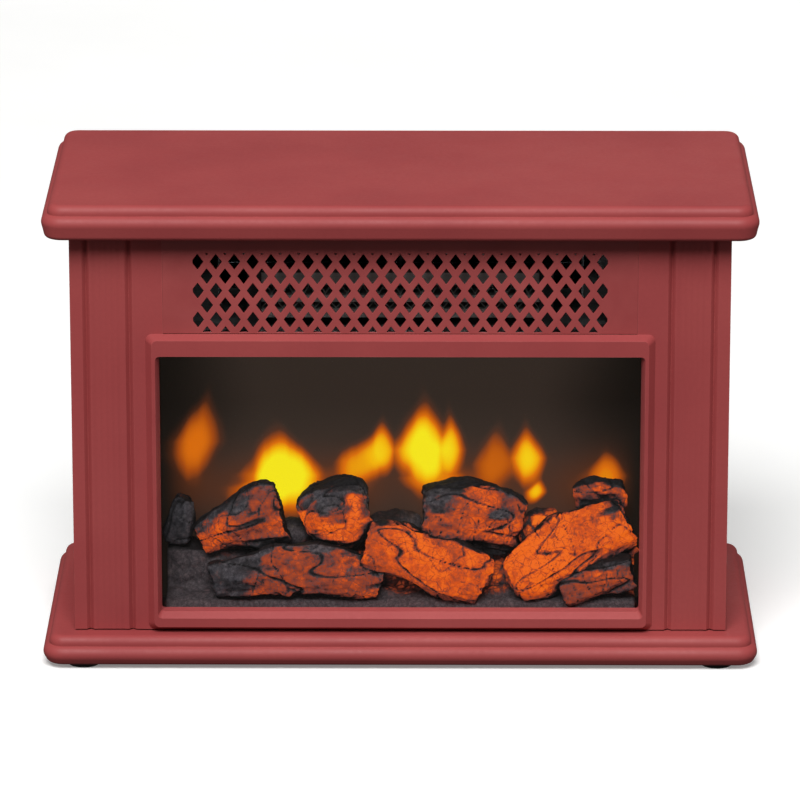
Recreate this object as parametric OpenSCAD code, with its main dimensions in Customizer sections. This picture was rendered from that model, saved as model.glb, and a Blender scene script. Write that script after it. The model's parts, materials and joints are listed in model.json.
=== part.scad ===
// Tabletop electric fireplace: a mantel cabinet with a flame-effect firebox behind
// a framed window, and a small fan heater that blows through the grille above it.
// The origin is on the surface it stands on, under the middle of the cabinet.
// +X is to the right and +Y to the rear, so the window faces -Y.

/* [Cabinet] */
// Width of the mantel top over its moulding
top_w = 400; // [396:1:410]
// Width of the plinth over its moulding
plinth_w = 406; // [404:1:416]
// Depth of the mantel top and of the plinth
slab_d = 184; // [182:1:196]
// Thickness of the mantel top
mantel_t = 19.5; // [18:0.5:22]
// Thickness of the plinth
slab_t = 16.5; // [16:0.5:20]
// Plan radius of the corners of the mantel top and of the plinth
slab_corner_r = 12; // [10:1:16]
// Width of the body between its outer side faces
body_w = 370; // [368:1:374]
// Depth of the body from front face to rear edge
body_d = 153; // [152:1:158]
// Height of the body between the plinth and the mantel top
body_h = 233; // [232:1:245]
// Thickness of the side and front boards
board_t = 9; // [8:0.5:9]
// Height of the rubber feet
foot_h = 2.5; // [2:0.5:4]

/* [Mouldings] */
// Height of the rounded cap above the lip of the slab moulding
cap_h = 5.5; // [4:0.5:6]
// Set-back of that cap
cap_inset = 3.5; // [2:0.5:4.5]
// Radius of the cap
cap_r = 4.5; // [3:0.5:5]
// Radius of the bead along the top of the lip
bead_r = 5; // [3:0.5:5.5]
// Radius under the lip
under_r = 3; // [2:0.5:4]
// How far the foot of the lip leans in under the bead
lip_lean = 1.4; // [0:0.2:2]
// Width of the two upright V grooves of each pilaster
groove_w = 4.2; // [3:0.2:5]
// Depth of those grooves
groove_depth = 2.1; // [1.5:0.1:3]
// Number of fine flutes between the two grooves
flutes = 5; // [3:1:6]

/* [Window] */
// Width of the clear window opening
window_w = 271; // [262:1:271]
// Height of the clear window opening
window_h = 151; // [148:1:151]
// Height of the window sill above the plinth
window_sill = 12; // [11:1:13]
// How far the window frame stands proud of the body
frame_proud = 5.5; // [4:0.5:8]
// Thickness of the glass
glass_t = 3; // [2:0.5:3]
// Depth of the firebox behind the glass
firebox_d = 47.5; // [47:0.5:50]

/* [Grille] */
// Width of the field of diamond holes
mesh_w = 232; // [180:1:236]
// Sideways pitch of the diamonds
mesh_pitch_x = 10.3; // [9:0.1:14]
// Upward pitch of the rows of diamonds
mesh_pitch_z = 8.4; // [7.5:0.1:8.6]
// Width of one diamond hole
diamond_w = 7; // [4:0.1:7.4]
// Height of one diamond hole
diamond_h = 9.4; // [6:0.1:10]
// Full rows of diamonds
mesh_rows = 5; // [3:1:5]

/* [Heater and fan] */
// Outside radius of the cross-flow fan wheel
fan_r = 21; // [18:0.5:21.5]
// Number of fan blades
fan_blades = 24; // [16:2:30]
// Length of the fan wheel
fan_len = 200; // [160:2:200]
// Width of the heating element
element_w = 156; // [120:2:180]

/* [Flame effect] */
// Reach of the foil flaps from the rotor's axis
foil_r = 15; // [10:0.5:16]
// Rows of foil flaps along the rotor
foil_rows = 12; // [8:1:14]

/* [Controls] */
// How far a rocker tips between its two positions, in degrees
rocker_throw = 24; // [16:1:26]
// Radius of the thermostat knob
knob_r = 12; // [10:0.5:13]
// Travel of the tip-over plunger
plunger_travel = 3; // [2:0.5:3]

/* [Hidden] */
$fn = 64;
fit = 0.05;          // radial clearance of a running fit
gap = 0.3;           // clearance between parts that only lie side by side
sheet_t = 1.2;       // thickness of the folded steel sheets
screw_r = 1.6;       // shank radius of every screw
pilot_r = 1.75;      // radius of a screw's hole in the piece it bites into
screw_head_r = 3.4;
screw_head_h = 1.6;
shaft_r = 2;         // radius of the fan shaft
rotor_r = 1.5;       // radius of the flame rotor shaft

y_front = -body_d / 2;
y_rear = body_d / 2;
x_side = body_w / 2;
x_inner = x_side - board_t;
z_plinth = foot_h + slab_t;
z_head = z_plinth + body_h;

window_z0 = z_plinth + window_sill;
window_z1 = window_z0 + window_h;
stile_x = 139;                       // inner edge of the pilaster boards beside the window
header_x = 133;                      // inner edge of the pilaster boards beside the grille
shelf_z = window_z1 + 10;
glass_y = y_front + 6;
glass_back_y = glass_y + glass_t;
glass_lap = 7;                       // how far the glass reaches past the opening
screen_y = glass_back_y + firebox_d;
screen_t = 2;
chassis_x = 142;                     // outer face of the firebox side plates
chassis_back_y = screen_y + 60;
cover_y = y_rear - sheet_t;          // inner face of the rear cover

groove_xs = [x_side - 33, x_side - 9];
shadow_gap = 0.8;                    // gap between the front boards and the plinth
foot_r = 9;
foot_xy = [x_side - 5, slab_d / 2 - 14];

fan_y = 14;
fan_z = shelf_z + 30;
duct_x = 121;                        // half width of the air duct, inside
duct_z0 = shelf_z + 3;
duct_z1 = shelf_z + 53;
duct_back_y = fan_y - 27;
mesh_z0 = shelf_z + 3.6;
mesh_z1 = mesh_z0 + 45.9;
first_row = 7.3;                     // height of the lowest full row above the mesh's lower edge

element_y = y_front + 12;
element_zs = [9, 18, 28];            // heights of the element's three bars above the shelf
bar_h = [5, 4, 7];
element_t = 12;

rotor_y = screen_y + 24;
rotor_z = z_plinth + 39;
bush_r = 5;

panel_lo = [72, 116];                // control plate on the rear cover: low corner in X and Z
panel_hi = [160, 184];               // control plate: high corner
panel_t = 1.5;
rocker_xs = [88, 110];               // flame switch, heat switch
knob_x = 137;
control_z = 150;
rocker_half_w = 5;
rocker_reach = 8.2;                  // half height of a rocker
rocker_y = y_rear + 1;               // the rockers' pivot line
switch_hole = [13.2, 21.2];          // hole for a switch housing in the cover and the control plate
spindle_r = 3;
spindle_y1 = y_rear + 8;             // free end of the thermostat spindle, inside the knob
gland_x = -135;
gland_z = z_plinth + 23;
gland_bore_r = 3.6;

tip_x = 60;
tip_y = 58;
plunger_r = 3;
collar_r = 4;
collar_h = 2;
chamber_z0 = z_plinth + 3;
chamber_z1 = z_plinth + 16;
collar_z = chamber_z0 + plunger_travel + 0.1;

bed_z = 12;                          // front terrace of the ember bed above the plinth
bed_lumps = [                        // lumps of the bed: ends in X, Y, height above the plinth, radius
    [-61, -59, -29, 43, 8.3], [-9, 3, -31, 45, 10.5], [77, 86, -30, 44, 9.3], [79, 84, -30, 50, 8]
];

// ---- Shared shapes ----

module block(lo, hi) {
    translate(lo) cube(hi - lo);
}

module rod_x(x0, x1, y, z, r) {
    translate([x0, y, z]) rotate([0, 90, 0]) cylinder(r = r, h = x1 - x0);
}

module rod_y(x, y0, y1, z, r) {
    translate([x, y0, z]) rotate([-90, 0, 0]) cylinder(r = r, h = y1 - y0);
}

module rod_z(x, y, z0, z1, r) {
    translate([x, y, z0]) cylinder(r = r, h = z1 - z0);
}

// An outline drawn in (X, Z), extruded from y0 to y1.
module plate_xz(y0, y1) {
    translate([0, y1, 0]) rotate([90, 0, 0]) linear_extrude(y1 - y0) children();
}

// An outline drawn in (Y, Z), extruded from x0 to x1.
module plate_yz(x0, x1) {
    translate([x0, 0, 0]) rotate([90, 0, 90]) linear_extrude(x1 - x0) children();
}

module ring_sector(r0, r1, a0, a1) {
    far = 2 * r1;
    intersection() {
        difference() {
            circle(r1);
            circle(r0);
        }
        polygon(concat([[0, 0]],
            [for (i = [0:4]) let (a = a0 + (a1 - a0) * i / 4) far * [cos(a), sin(a)]]));
    }
}

// A screw along -Y: its head's back is at y and its shank runs forward.
module screw_y(x, y, z, length) {
    rod_y(x, y, y + screw_head_h, z, screw_head_r);
    rod_y(x, y - length, y, z, screw_r);
}

// ---- Mantel top, plinth and feet ----

// Angle of the face that runs from the bead of the lip down to its foot.
function lip_tilt(bead, foot) = let (run = bead - foot)
    atan2(run[1], run[0]) - acos((under_r - bead_r) / norm(run));

// Section of the moulding of a slab t thick: X outward from the centre of the corner, Y up.
module moulded_edge(t) {
    lip_h = t - cap_h;
    cap_x = slab_corner_r - cap_inset;
    round_r = min(cap_r, cap_h - 0.3);
    bead = [slab_corner_r - bead_r, lip_h - bead_r];
    foot = [slab_corner_r - lip_lean - under_r, under_r];
    tilt = lip_tilt(bead, foot);
    out = [cos(tilt), sin(tilt)];
    polygon([[0, 0], [foot[0], 0], foot + under_r * out, bead + bead_r * out,
        [bead[0], lip_h], [0, lip_h]]);
    translate(foot) circle(under_r);
    translate(bead) circle(bead_r);
    translate([0, lip_h - 1]) square([cap_x, cap_h + 1 - round_r]);
    translate([0, lip_h]) square([cap_x - round_r, cap_h]);
    translate([cap_x - round_r, t - round_r]) intersection() {
        circle(round_r);
        square(round_r);
    }
}

module moulded_slab(w, d, z, t) {
    cx = w / 2 - slab_corner_r;
    cy = d / 2 - slab_corner_r;
    translate([0, 0, z]) {
        block([-cx, -cy, 0], [cx, cy, t]);
        for (turn = [0, 180]) rotate(turn) {
            translate([cx, cy, 0]) rotate([90, 0, 0]) linear_extrude(2 * cy) moulded_edge(t);
            translate([-cx, cy, 0]) rotate([90, 0, 90]) linear_extrude(2 * cx) moulded_edge(t);
            translate([cx, cy, 0]) rotate_extrude(angle = 90) moulded_edge(t);
            translate([-cx, cy, 0]) rotate(90) rotate_extrude(angle = 90) moulded_edge(t);
        }
    }
}

module top_slab() {
    color("#9c4645") moulded_slab(top_w, slab_d, z_head, mantel_t);
}

module plinth() {
    color("#9c4645") difference() {
        moulded_slab(plinth_w, slab_d, foot_h, slab_t);
        rod_z(tip_x, tip_y, 0, z_plinth + 1, collar_r);
        at_feet() rod_z(0, 0, 0, z_plinth - 3, pilot_r);
    }
}

module at_feet() {
    for (sx = [-1, 1], sy = [-1, 1]) translate([sx * foot_xy[0], sy * foot_xy[1], 0]) children();
}

module feet() {
    color("#1c1a1a") at_feet() difference() {
        rod_z(0, 0, 0, foot_h, foot_r);
        rod_z(0, 0, -1, foot_h + 1, pilot_r);
        rod_z(0, 0, -1, foot_h - 0.8, screw_head_r + gap);
    }
}

module foot_screws() {
    color("silver") at_feet() {
        rod_z(0, 0, foot_h - 0.8 - 1.2, foot_h - 0.8, screw_head_r);
        rod_z(0, 0, foot_h - 0.8, z_plinth - 5, screw_r);
    }
}

// ---- Cabinet boards ----

module side_panel(side) {
    x0 = min(side * x_inner, side * x_side);
    color("#914546") block([x0, y_front + board_t, z_plinth], [x0 + board_t, y_rear, z_head]);
}

module left_side_panel() {
    side_panel(-1);
}

module right_side_panel() {
    side_panel(1);
}

// Section of a right-hand pilaster board, X across and Y to the rear.
module pilaster_section() {
    flute_r = 6;
    flute_sink = 0.35;
    flute_x0 = groove_xs[0] + groove_w / 2;
    flute_x1 = groove_xs[1] - groove_w / 2;
    pitch = (flute_x1 - flute_x0) / (flutes + 1);
    difference() {
        translate([header_x, y_front]) square([x_side - header_x, board_t]);
        for (x = groove_xs) translate([x, y_front])
            polygon([[-groove_w / 2, 0], [-groove_w / 2, -1], [groove_w / 2, -1],
                [groove_w / 2, 0], [0, groove_depth]]);
        for (i = [1:flutes])
            translate([flute_x0 + i * pitch, y_front - flute_r + flute_sink]) circle(flute_r);
    }
}

module pilaster() {
    z0 = z_plinth + shadow_gap;
    color("#914546") difference() {
        translate([0, 0, z0]) linear_extrude(z_head - z0) pilaster_section();
        block([header_x - 1, y_front - 1, z0 - 1], [stile_x, y_front + board_t + 1, shelf_z + 2]);
    }
}

module left_pilaster() {
    mirror([1, 0, 0]) pilaster();
}

module right_pilaster() {
    pilaster();
}

// Wooden strips inside the rear corners, below and above the heater shelf.
module corner_cleats() {
    cleat_w = 12;
    cleat_d = 15;
    spans = [[z_plinth, shelf_z], [shelf_z + sheet_t, z_head]];
    color("#c8a878") for (side = [-1, 1], span = spans) difference() {
        x0 = side > 0 ? x_inner - cleat_w : -x_inner;
        block([x0, cover_y - cleat_d, span[0]], [x0 + cleat_w, cover_y, span[1]]);
        for (z = cover_screw_zs()) rod_y(side * cover_screw_x(), cover_y - 12, cover_y + 1, z, pilot_r);
    }
}

// ---- Window ----

function frame_outer() = [window_w / 2 + 7.5, window_z0 - window_sill + 1, window_z1 + 12.6];

// A rectangle in (X, Z) with rounded corners.
module rounded_rect(half_w, z0, z1, r) {
    hull() for (sx = [-1, 1], z = [z0 + r, z1 - r]) translate([sx * (half_w - r), z]) circle(r, $fn = 32);
}

module window_frame() {
    outer = frame_outer();
    y_face = y_front - frame_proud;
    half = window_w / 2;
    skin = 0.2;
    color("#98484a") difference() {
        union() {
            hull() {
                plate_xz(y_front - skin, y_front) rounded_rect(outer[0], outer[1], outer[2], 4);
                plate_xz(y_face, y_face + skin)
                    rounded_rect(outer[0] - 3.6, outer[1] + 2.8, outer[2] - 2.6, 3);
            }
            block([-stile_x + gap, y_front, outer[1]], [stile_x - gap, glass_y, shelf_z]);
        }
        hull() {
            plate_xz(y_face - skin, y_face) rounded_rect(half + 2, window_z0 - 3, window_z1 + 0.8, 2.5);
            plate_xz(y_front - 1.5, y_front - 1.5 + skin) rounded_rect(half, window_z0, window_z1, 1.5);
        }
        plate_xz(y_front - 2, glass_y + 1) rounded_rect(half, window_z0, window_z1, 1.5);
    }
}

module window_glass() {
    half = window_w / 2 + 2.5;
    color([0.8, 0.85, 0.85, 0.3])
        block([-half, glass_y, window_z0 - glass_lap], [half, glass_back_y, window_z1 + glass_lap]);
}

// A folded clip on the lower edge of the glass: a foot on the window frame and a tongue behind the glass.
module glass_clip() {
    plate_yz(-8, 8) polygon([[glass_y, -gap - 1], [glass_y, -gap], [glass_back_y, -gap],
        [glass_back_y, 3.5], [glass_back_y + 1, 3.5], [glass_back_y + 1, -gap - 1]]);
}

module glass_clips() {
    color("silver") for (x = [-95, 95]) {
        translate([x, 0, window_z0 - glass_lap]) glass_clip();
        translate([x, 0, window_z1 + glass_lap]) mirror([0, 0, 1]) glass_clip();
    }
}

// ---- Outlet grille ----

module diamond() {
    polygon([[-diamond_w / 2, 0], [0, -diamond_h / 2], [diamond_w / 2, 0], [0, diamond_h / 2]]);
}

module diamond_field() {
    columns = ceil(mesh_w / mesh_pitch_x / 2);
    intersection() {
        translate([-mesh_w / 2, mesh_z0]) square([mesh_w, mesh_z1 - mesh_z0]);
        for (row = [-1:mesh_rows], column = [-columns:columns]) {
            x = (column + (row % 2 == 0 ? 0 : 0.5)) * mesh_pitch_x;
            if (abs(x) < mesh_w / 2)
                translate([x, mesh_z0 + first_row + row * mesh_pitch_z]) diamond();
        }
    }
}

// A punched steel sheet with a flange down each side.
module outlet_grille() {
    edge = header_x - fit;
    z0 = shelf_z + 2.8;
    z1 = z_head - 0.5;
    sheet = 1.5;
    color("#914546") {
        plate_xz(y_front, y_front + sheet) difference() {
            translate([-edge, z0]) square([2 * edge, z1 - z0]);
            diamond_field();
        }
        for (x = [-edge, edge - sheet])
            block([x, y_front + sheet, z0], [x + sheet, y_front + board_t, z1]);
    }
}

// ---- Rear cover and shelf ----

function cover_screw_x() = x_inner - 6;
function cover_screw_zs() = [z_plinth + 12, shelf_z - 12, shelf_z + 12, z_head - 12];
function panel_screw_xs() = [panel_lo[0] + 5, panel_hi[0] - 5];
function panel_screw_zs() = [panel_lo[1] + 5, panel_hi[1] - 5];

module louvre_slots() {
    slot = [30, 3];
    for (column = [-3:3], row = [0:5])
        translate([column * 38 - slot[0] / 2, shelf_z + 14 + row * 7]) square(slot);
    for (column = [-2:1], row = [0:2])
        translate([column * 38 - slot[0] / 2, z_plinth + 20 + row * 7]) square(slot);
}

module rear_cover() {
    edge = x_inner - gap;
    color("#3a3838") plate_xz(cover_y, y_rear) difference() {
        translate([-edge, z_plinth + 0.4]) square([2 * edge, body_h - 0.8]);
        louvre_slots();
        for (side = [-1, 1], z = cover_screw_zs())
            translate([side * cover_screw_x(), z]) circle(screw_r + gap);
        for (x = rocker_xs) translate([x, control_z]) square(switch_hole, center = true);
        translate([knob_x, control_z]) circle(5);
        translate([gland_x, gland_z]) circle(8);
        at_panel_screws() circle(screw_r + gap);
    }
}

module at_panel_screws() {
    for (x = panel_screw_xs(), z = panel_screw_zs()) translate([x, z]) children();
}

// Screws of the rear cover, and four short ones of the control plate.
module rear_cover_screws() {
    color("silver") {
        for (side = [-1, 1], z = cover_screw_zs()) screw_y(side * cover_screw_x(), y_rear, z, 12);
        for (x = panel_screw_xs(), z = panel_screw_zs()) screw_y(x, y_rear + panel_t, z, 6);
    }
}

module heater_shelf() {
    edge = x_inner - gap;
    color("#8a8c8c")
        block([-edge, y_front + board_t + gap, shelf_z], [edge, cover_y - gap, shelf_z + sheet_t]);
}

// ---- Firebox ----

module chassis_plate(side) {
    x0 = side > 0 ? chassis_x - sheet_t : -chassis_x;
    color("#2a2624") difference() {
        block([x0, glass_back_y + 1.5, z_plinth], [x0 + sheet_t, chassis_back_y, shelf_z]);
        rod_x(x0 - 1, x0 + sheet_t + 1, rotor_y, rotor_z, side > 0 ? bush_r - 1 : rotor_r + gap);
    }
}

module left_chassis_plate() {
    chassis_plate(-1);
}

module right_chassis_plate() {
    chassis_plate(1);
}

module firebox_floor() {
    edge = chassis_x - sheet_t;
    color("#2a2624")
        block([-edge, glass_back_y + 1.5, z_plinth], [edge, chassis_back_y, z_plinth + sheet_t]);
}

// A short round-ended bar along X.
module ember_lump(x0, x1, y, z, r) {
    rod_x(x0, x1, y, z, r);
    for (x = [x0, x1]) translate([x, y, z]) sphere(r);
}

// A hollow tray, open below: a sloping front, a low terrace and a high one with lumps behind it.
module ember_bed() {
    y0 = glass_back_y + 2.5;
    y1 = screen_y - 3;
    z0 = z_plinth + sheet_t;
    half = chassis_x - 8;
    wall = 2;
    low = z_plinth + bed_z;
    high = low + 25;
    step_y = y1 - 13;
    outline = [[y0, z0], [y1, z0], [y1, high], [step_y, high - 2], [step_y - 3, low + 2], [y0 + 8, low]];
    hollow = [[y0 + wall + 1, z0 - 1], [y1 - wall, z0 - 1], [y1 - wall, high - wall - 2],
        [step_y + wall, high - wall - 3], [step_y - 1, low - 1], [y0 + 9, low - wall]];
    color("#3c3f44") difference() {
        union() {
            plate_yz(-half, half) polygon(outline);
            for (lump = bed_lumps) ember_lump(lump[0], lump[1], lump[2], z_plinth + lump[3], lump[4]);
        }
        plate_yz(-half + wall, half - wall) polygon(hollow);
    }
}

// A circuit strip with a row of light-emitting diodes on it.
module led_strip(half, y, z, count) {
    color("#d8d8d0") block([-half, y - 4, z], [half, y + 4, z + 1.6]);
    color("#ffb347") for (i = [0:count - 1])
        translate([-half + (i + 0.5) * 2 * half / count, y, z + 1.6])
            block([-1.5, -1.5, 0], [1.5, 1.5, 1.4]);
}

module ember_led_strip() {
    led_strip(118, (glass_back_y + screen_y) / 2 + 4, z_plinth + sheet_t, 12);
}

// A log between two round ends; heights are above the plinth.
module log(from, from_r, to, to_r) {
    color("#4a3a34") hull() {
        translate(from + [0, 0, z_plinth]) sphere(from_r, $fn = 24);
        translate(to + [0, 0, z_plinth]) sphere(to_r, $fn = 24);
    }
}

module log_back_left() {
    log([-108, -39, 46], 9, [-82, -38.5, 57], 17.5);
}

module log_back_middle() {
    log([-40, -39.5, 57], 17.5, [-33, -39, 59], 18);
}

module log_back_right() {
    log([28, -39, 58.5], 18, [54, -38.5, 54.5], 16);
}

module log_corner_left() {
    log([-128, -33, 46], 7, [-124, -35, 62], 8);
}

module log_corner_right() {
    log([107, -30, 66], 7.5, [122, -29, 68], 6.5);
}

module log_front_left() {
    log([-98, -54, 24], 10, [-20, -54, 24], 11);
}

module log_front_middle() {
    log([-12, -53.5, 44], 10, [38, -54, 25], 11);
}

module log_front_right() {
    log([72, -54, 27], 11, [120, -43, 50], 13);
}

module log_low_right() {
    log([99, -59, 19.5], 7, [126, -57.5, 28.5], 8.5);
}

module flame_screen() {
    edge = chassis_x - sheet_t;
    color([0.5, 0.42, 0.38, 0.7])
        block([-edge, screen_y, z_plinth + sheet_t], [edge, screen_y + screen_t, shelf_z]);
}

// ---- Flame rotor ----

module flame_rotor_shaft() {
    color("silver") rod_x(-chassis_x - 8, chassis_x + 1.5, rotor_y, rotor_z, rotor_r);
}

// Thin foil flaps around a sleeve on the shaft, each row turned from the last.
module flame_rotor_foils() {
    half = chassis_x - 14;
    pitch = 2 * half / foil_rows;
    turn = 37;
    color("#e8e8ea") translate([0, rotor_y, rotor_z]) difference() {
        union() {
            rod_x(-half, half, 0, 0, rotor_r + 1);
            for (i = [0:foil_rows - 1], k = [0:3]) translate([-half + (i + 0.5) * pitch, 0, 0])
                rotate([i * turn + k * 90, 0, 0])
                    block([-pitch * 0.4, -0.2, rotor_r], [pitch * 0.4, 0.2, foil_r]);
        }
        rod_x(-half - 1, half + 1, 0, 0, rotor_r);
    }
}

module flame_motor() {
    motor_r = 15;
    color("#b8bcc0") difference() {
        union() {
            rod_x(-chassis_x - 14, -chassis_x, rotor_y, rotor_z, motor_r);
            block([-chassis_x - 1, rotor_y - 21, rotor_z - 4], [-chassis_x, rotor_y + 21, rotor_z + 4]);
        }
        rod_x(-chassis_x - 9, -chassis_x + 1, rotor_y, rotor_z, rotor_r + fit);
    }
}

module flame_rotor_bush() {
    color("#e8e4d8") difference() {
        union() {
            rod_x(chassis_x - sheet_t, chassis_x, rotor_y, rotor_z, bush_r - 1);
            rod_x(chassis_x, chassis_x + 3, rotor_y, rotor_z, bush_r);
        }
        rod_x(chassis_x - sheet_t - 1, chassis_x + 4, rotor_y, rotor_z, rotor_r + fit);
    }
}

module flame_reflector() {
    half = chassis_x - sheet_t - 0.5;
    r = foil_r + 5;
    color("#dfe3e6") plate_yz(-half, half) translate([rotor_y, rotor_z]) ring_sector(r, r + 0.8, -70, 80);
}

module flame_led_strip() {
    led_strip(118, screen_y + screen_t + 7, z_plinth + sheet_t, 14);
}

// ---- Heater ----

module heater_duct() {
    y0 = y_front + 1.5 + gap;
    wall = 1;
    color("#9ea2a4") difference() {
        block([-duct_x - wall, y0, duct_z0 - wall], [duct_x + wall, duct_back_y, duct_z1 + wall]);
        block([-duct_x, y0 - 1, duct_z0], [duct_x, duct_back_y + 1, duct_z1]);
    }
}

// Three bars with folded fins bonded between them.
module heating_element() {
    fin = 0.4;
    pitch = 3;
    half = element_w / 2;
    folds = floor(2 * half / pitch);
    color("#c9cccb") for (i = [0:2]) translate([0, element_y, shelf_z + element_zs[i]])
        block([-half, 0, 0], [half, element_t, bar_h[i]]);
    color("#8d9190") for (i = [0:1]) {
        z0 = shelf_z + element_zs[i] + bar_h[i];
        z1 = shelf_z + element_zs[i + 1];
        zig = [for (k = [0:folds]) [-half + k * pitch, k % 2 == 0 ? z0 : z1 - fin]];
        back = [for (k = [folds:-1:0]) zig[k] + [0, fin]];
        plate_xz(element_y + 1, element_y + element_t - 1) polygon(concat(zig, back));
    }
}

// Heat-proof end blocks that hang the element in the duct.
module element_holders() {
    half = element_w / 2;
    color("#2b2826") for (side = [-1, 1]) {
        x0 = side > 0 ? half : -half - 8;
        block([x0, element_y - 1, duct_z0], [x0 + 8, element_y + element_t + 1, shelf_z + 38]);
    }
}

module thermal_cutout() {
    color("#d8cfb8") rod_z(40, -34, duct_z1 + 1, duct_z1 + 6, 8);
}

// ---- Fan ----

module fan_section() {
    ring_in = fan_r - 8;
    blade_r = 8;
    for (i = [0:fan_blades - 1]) rotate(i * 360 / fan_blades) intersection() {
        translate([fan_r - 4, -blade_r + 1]) difference() {
            circle(blade_r);
            circle(blade_r - 0.6);
        }
        translate([ring_in, -1]) square([fan_r - ring_in - 0.6, 4]);
    }
}

// Curved blades between three discs.
module fan_wheel() {
    disc_t = 1.5;
    half = fan_len / 2;
    color("#5a5d60") translate([0, fan_y, fan_z]) {
        plate_yz(-half, half) fan_section();
        for (x = [-half, -disc_t / 2, half - disc_t]) difference() {
            rod_x(x, x + disc_t, 0, 0, fan_r);
            rod_x(x - 1, x + disc_t + 1, 0, 0, shaft_r);
        }
    }
}

module fan_shaft() {
    half = fan_len / 2;
    color("silver") rod_x(-half - 10, half + 34, fan_y, fan_z, shaft_r);
}

module fan_end_plates() {
    x0 = fan_len / 2 + 3;
    color("#9ea2a4") for (side = [-1, 1]) difference() {
        block([side > 0 ? x0 : -x0 - sheet_t, duct_back_y + gap, shelf_z + sheet_t],
            [side > 0 ? x0 + sheet_t : -x0, fan_y + 26, duct_z1 + 1]);
        rod_x(side > 0 ? x0 - 1 : -x0 - sheet_t - 1, side > 0 ? x0 + 3 : -x0 + 1, fan_y, fan_z,
            side > 0 ? 6 : bush_r - 1);
    }
}

module fan_motor() {
    x0 = fan_len / 2 + 3 + sheet_t;
    core = 15;
    color("#6d5f52") difference() {
        union() {
            rod_x(x0, x0 + 32, fan_y, fan_z, 12);
            block([x0 + 8, fan_y - 22, fan_z - core], [x0 + 24, fan_y + 22, fan_z + core]);
        }
        rod_x(x0 - 1, x0 + 33, fan_y, fan_z, shaft_r + fit);
    }
}

module fan_bush() {
    x1 = -fan_len / 2 - 3;
    color("#b08d57") difference() {
        union() {
            rod_x(x1 - sheet_t, x1, fan_y, fan_z, bush_r - 1);
            rod_x(x1 - sheet_t - 4, x1 - sheet_t, fan_y, fan_z, bush_r);
        }
        rod_x(x1 - sheet_t - 5, x1 + 1, fan_y, fan_z, shaft_r + fit);
    }
}

// The curved wall under and behind the wheel, and the lip above its front.
module fan_scroll() {
    half = fan_len / 2 + 3;
    r = fan_r + 3;
    color("#9ea2a4") {
        plate_yz(-half, half) translate([fan_y, fan_z]) ring_sector(r, r + 1, -120, -5);
        block([-half, duct_back_y + gap, fan_z + 12], [half, duct_back_y + gap + 1, duct_z1]);
    }
}

// ---- Controls ----

module control_plate() {
    color("#222222") plate_xz(y_rear, y_rear + panel_t) difference() {
        translate(panel_lo) square(panel_hi - panel_lo);
        for (x = rocker_xs) translate([x, control_z]) square(switch_hole, center = true);
        translate([knob_x, control_z]) circle(bush_r);
        at_panel_screws() circle(screw_r + gap);
    }
}

// Two identical switch housings, each a rim around a pocket for its rocker.
module switch_housings() {
    rim_y = y_rear + panel_t;
    pocket = [2 * rocker_half_w + 0.8, 2 * rocker_reach + 2.4];
    color("#151515") for (x = rocker_xs) translate([x, 0, control_z]) difference() {
        union() {
            block([-7.5, rim_y, -12.5], [7.5, rim_y + 1.5, 12.5]);
            block([-6.4, y_rear - 16, -10.4], [6.4, rim_y, 10.4]);
        }
        block([-pocket[0] / 2, y_rear - 9, -pocket[1] / 2], [pocket[0] / 2, rim_y + 2, pocket[1] / 2]);
        rod_x(-6, 6, rocker_y, 0, 1.5 + fit);
    }
}

// A rocker with a shallow V face and its pivot pin, tipped by angle degrees about X.
module rocker(x, angle) {
    translate([x, rocker_y, control_z]) rotate([angle, 0, 0]) {
        plate_yz(-rocker_half_w, rocker_half_w)
            polygon([[-5, -5], [-5, 5], [-1, rocker_reach], [3.6, rocker_reach], [2.2, 0],
                [3.6, -rocker_reach], [-1, -rocker_reach]]);
        rod_x(-5.8, 5.8, 0, 0, 1.5);
    }
}

module flame_switch_rocker() {
    color("#b02020") rocker(rocker_xs[0], rocker_throw / 2);
}

module heat_switch_rocker() {
    color("#202020") rocker(rocker_xs[1], -rocker_throw / 2);
}

module thermostat_body() {
    color("#d9d4c4") difference() {
        union() {
            block([knob_x - 13, y_rear - 22, control_z - 11], [knob_x + 13, y_rear - 6, control_z + 11]);
            rod_y(knob_x, y_rear - 6, y_rear + panel_t, control_z, bush_r - gap);
        }
        rod_y(knob_x, y_rear - 18, y_rear + panel_t + 1, control_z, spindle_r + fit);
    }
}

module thermostat_spindle() {
    color("silver") rod_y(knob_x, y_rear - 17.5, spindle_y1, control_z, spindle_r);
}

// A grip on a skirt, with finger grooves, a blind bore for the spindle and a pointer slot.
module thermostat_knob() {
    y0 = y_rear + panel_t + 0.5;
    y1 = y0 + 11;
    skirt_t = 2.5;
    grip_r = knob_r - 2.5;
    grips = 18;
    color("#1b1b1b") difference() {
        union() {
            rod_y(knob_x, y0, y0 + skirt_t, control_z, knob_r);
            rod_y(knob_x, y0 + skirt_t, y1, control_z, grip_r);
        }
        for (i = [1:grips - 1]) translate([knob_x, 0, control_z]) rotate([0, 90 + i * 360 / grips, 0])
            rod_y(grip_r + 0.5, y0 + skirt_t + 0.6, y1 + 1, 0, 1.1);
        rod_y(knob_x, y0 - 1, spindle_y1, control_z, spindle_r);
        block([knob_x - 0.6, y1 - 0.6, control_z + 2], [knob_x + 0.6, y1 + 1, control_z + knob_r]);
    }
}

// ---- Supply ----

module cord_gland() {
    color("#161616") difference() {
        union() {
            rod_y(gland_x, y_rear, y_rear + 3, gland_z, 11);
            rod_y(gland_x, y_rear - 8, y_rear, gland_z, 7.8);
            rod_y(gland_x, y_rear + 3, y_rear + 11, gland_z, 6.5);
        }
        rod_y(gland_x, y_rear - 9, y_rear + 12, gland_z, gland_bore_r);
    }
}

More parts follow.
